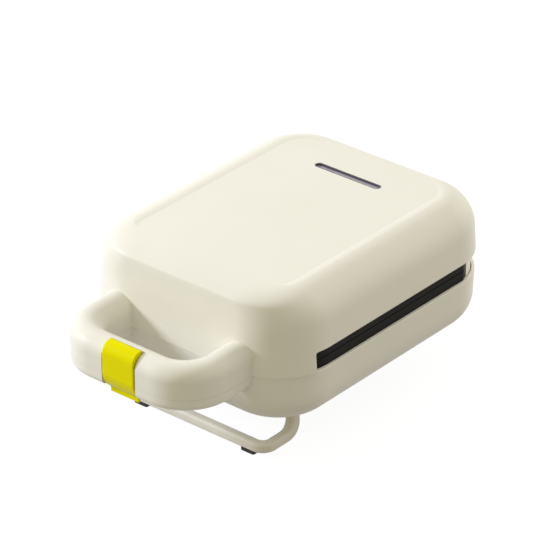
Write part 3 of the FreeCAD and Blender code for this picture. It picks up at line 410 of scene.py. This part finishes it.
def dark_lens():
    material, tree, shader = new_material("dark_lens", IOR=1.49, Coat_Weight=0.2, Coat_Roughness=0.1)
    grain = place_group(tree, GRAIN, Grain=1600.0, Patch=140.0)
    tone = grain.outputs["Tone"]
    floor_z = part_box("indicator_lens")[1][2] - LENS_WELL
    place = object_place(tree)
    height = add_node(tree, "ShaderNodeSeparateXYZ", links={0: place}).outputs["Z"]
    offset = add_node(tree, "ShaderNodeVectorMath", {1: LENS_MIDDLE}, {0: place}, operation="SUBTRACT")
    across = add_node(tree, "ShaderNodeSeparateXYZ", links={0: offset.outputs["Vector"]})
    along = add_node(tree, "ShaderNodeMath", links={0: across.outputs["X"]}, operation="ABSOLUTE")
    past = remap(tree, along.outputs[0], LENS_STRAIGHT, 2 * LENS_STRAIGHT, to_high=LENS_STRAIGHT)
    links = {"X": past, "Y": across.outputs["Y"]}
    around = add_node(tree, "ShaderNodeCombineXYZ", links=links).outputs["Vector"]
    reach = add_node(tree, "ShaderNodeVectorMath", links={0: around}, operation="LENGTH").outputs["Value"]
    # Painted shade: the floor darkens towards the well's rim, and the walls are painted dark
    shade = remap(tree, reach, *LENS_SHADE)
    wall = remap(tree, height, floor_z + LENS_WELL_EASE, floor_z + 2 * LENS_WELL_EASE)
    glow = blend_colours(tree, tone, LENS_FLOOR_DEEP, LENS_FLOOR_PALE)
    floor_colour = blend_colours(tree, shade, glow, LENS_FLOOR_PAINTED_SHADE)
    colour = blend_colours(tree, wall, floor_colour, LENS_WALL_PAINTED_SHADE)
    wire(tree, shader, Base_Color=colour, Roughness=remap(tree, tone, to_low=0.22, to_high=0.34),
         Normal=bump(tree, grain.outputs["Height"], strength=0.05, distance=0.00004))
    return material


def board_green():
    material, tree, shader = new_material("board_green", IOR=1.5)
    grain = place_group(tree, GRAIN, Grain=2600.0, Patch=300.0)
    lines = place_group(tree, DRAWN, Scale=500.0, Stretch=0.06)
    tone = grain.outputs["Tone"]
    base = blend_colours(tree, lines.outputs["Tone"], BOARD_DEEP, BOARD_PALE)
    wire(tree, shader, Base_Color=base, Roughness=remap(tree, tone, to_low=0.28, to_high=0.42),
         Normal=bump(tree, grain.outputs["Height"], strength=0.2, distance=0.00005))
    return material


def lamp_clear():
    material, tree, shader = new_material("lamp_clear", IOR=1.5, Coat_Weight=0.3)
    grain = place_group(tree, GRAIN, Grain=1800.0, Patch=600.0)
    tone = grain.outputs["Tone"]
    colour = blend_colours(tree, tone, LAMP_DEEP, LAMP_PALE)
    wire(tree, shader, Base_Color=colour, Roughness=remap(tree, tone, to_low=0.08, to_high=0.18),
         Normal=bump(tree, grain.outputs["Height"], strength=0.05, distance=0.00003))
    return material


FINISHES = {
    "cream_plastic": cream_plastic,
    "yellow_plastic": yellow_plastic,
    "black_liner": black_liner,
    "plate_coating": plate_coating,
    "heater_steel": heater_steel,
    "reflector_sheet": reflector_sheet,
    "ceramic": ceramic,
    "fuse_metal": fuse_metal,
    "steel": steel,
    "black_rubber": black_rubber,
    "wire_sleeve": wire_sleeve,
    "dark_lens": dark_lens,
    "board_green": board_green,
    "lamp_clear": lamp_clear,
}


def dress_nodes():
    made = {slot: build() for slot, build in FINISHES.items()}
    for entry in frame["record"]["subparts"]:
        mesh = frame["nodes"][entry["node"]].data
        mesh.materials.clear()
        mesh.materials.append(made[entry["material_slot"]])


# Stage
def background_seen(tree):
    path = tree.nodes.new("ShaderNodeLightPath")
    seen = path.outputs["Is Camera Ray"]
    for label in ("Is Glossy Ray", "Is Transmission Ray"):
        links = {0: seen, 1: path.outputs[label]}
        seen = add_node(tree, "ShaderNodeMath", links=links, operation="MAXIMUM").outputs[0]
    return seen


def make_floor():
    bpy.ops.mesh.primitive_plane_add(size=FLOOR_SIZE)
    floor = bpy.context.object
    floor.name = "floor"
    material = bpy.data.materials.new("floor_paper")
    material.use_nodes = True
    tree = material.node_tree
    tree.nodes.clear()
    paper = add_node(tree, "ShaderNodeBsdfDiffuse", {"Color": FLOOR_COLOUR})
    pale = add_node(tree, "ShaderNodeBsdfDiffuse", {"Color": FLOOR_SEEN})
    glow = add_node(tree, "ShaderNodeEmission", {"Color": WHITE, "Strength": FLOOR_WHITE})
    lit = add_node(tree, "ShaderNodeAddShader", links={0: pale.outputs[0], 1: glow.outputs[0]})
    links = {0: background_seen(tree), 1: paper.outputs[0], 2: lit.outputs[0]}
    both = add_node(tree, "ShaderNodeMixShader", links=links)
    add_node(tree, "ShaderNodeOutputMaterial", links={"Surface": both.outputs[0]})
    floor.data.materials.append(material)


def make_room():
    world = bpy.data.worlds.new("room")
    bpy.context.scene.world = world
    world.use_nodes = True
    tree = world.node_tree
    tree.nodes.clear()
    towards = add_node(tree, "ShaderNodeTexCoord").outputs["Generated"]
    total = None
    for axis, sharpness, colour in ROOM_LIGHTS:
        facing = add_node(tree, "ShaderNodeVectorMath", {1: axis}, {0: towards}, operation="DOT_PRODUCT")
        ahead = add_node(tree, "ShaderNodeMath", {1: 0.0}, {0: facing.outputs["Value"]}, operation="MAXIMUM")
        lobe = add_node(tree, "ShaderNodeMath", {1: sharpness}, {0: ahead.outputs[0]}, operation="POWER")
        links = {"Scale": lobe.outputs[0]}
        glow = add_node(tree, "ShaderNodeVectorMath", {0: colour}, links, operation="SCALE")
        if total is None:
            total = glow.outputs["Vector"]
        else:
            links = {0: total, 1: glow.outputs["Vector"]}
            total = add_node(tree, "ShaderNodeVectorMath", links=links, operation="ADD").outputs["Vector"]
    colour = blend_colours(tree, background_seen(tree), total, WHITE)
    room = add_node(tree, "ShaderNodeBackground", links={"Color": colour})
    add_node(tree, "ShaderNodeOutputWorld", links={"Surface": room.outputs[0]})


def make_lamp(name, towards, distance, size, watts, colour):
    lamp = bpy.data.lights.new(name, "AREA")
    lamp.shape = "DISK"
    lamp.size = size
    lamp.energy = watts
    lamp.color = colour
    holder = bpy.data.objects.new(name, lamp)
    aim = towards.normalized()
    holder.location = CAMERA_TARGET + aim * distance
    holder.rotation_euler = (-aim).to_track_quat("-Z", "Y").to_euler()
    bpy.context.scene.collection.objects.link(holder)


def make_camera():
    azimuth = math.radians(CAMERA_AZIMUTH)
    elevation = math.radians(CAMERA_ELEVATION)
    level = math.cos(elevation)
    back = Vector((math.sin(azimuth) * level, -math.cos(azimuth) * level, math.sin(elevation)))
    lens = bpy.data.cameras.new("camera")
    lens.sensor_width = SENSOR
    lens.lens = CAMERA_LENS
    holder = bpy.data.objects.new("camera", lens)
    holder.location = CAMERA_TARGET + back * CAMERA_DISTANCE
    holder.rotation_euler = (-back).to_track_quat("-Z", "Y").to_euler()
    bpy.context.scene.collection.objects.link(holder)
    bpy.context.scene.camera = holder


make_camera()
dress_nodes()
make_floor()
make_room()
make_lamp("key_lamp", KEY_TOWARDS, KEY_DISTANCE, KEY_SIZE, KEY_WATTS, KEY_COLOUR)
make_lamp("rear_lamp", REAR_TOWARDS, REAR_DISTANCE, REAR_SIZE, REAR_WATTS, REAR_COLOUR)
bpy.context.scene.view_settings.view_transform = "Standard"
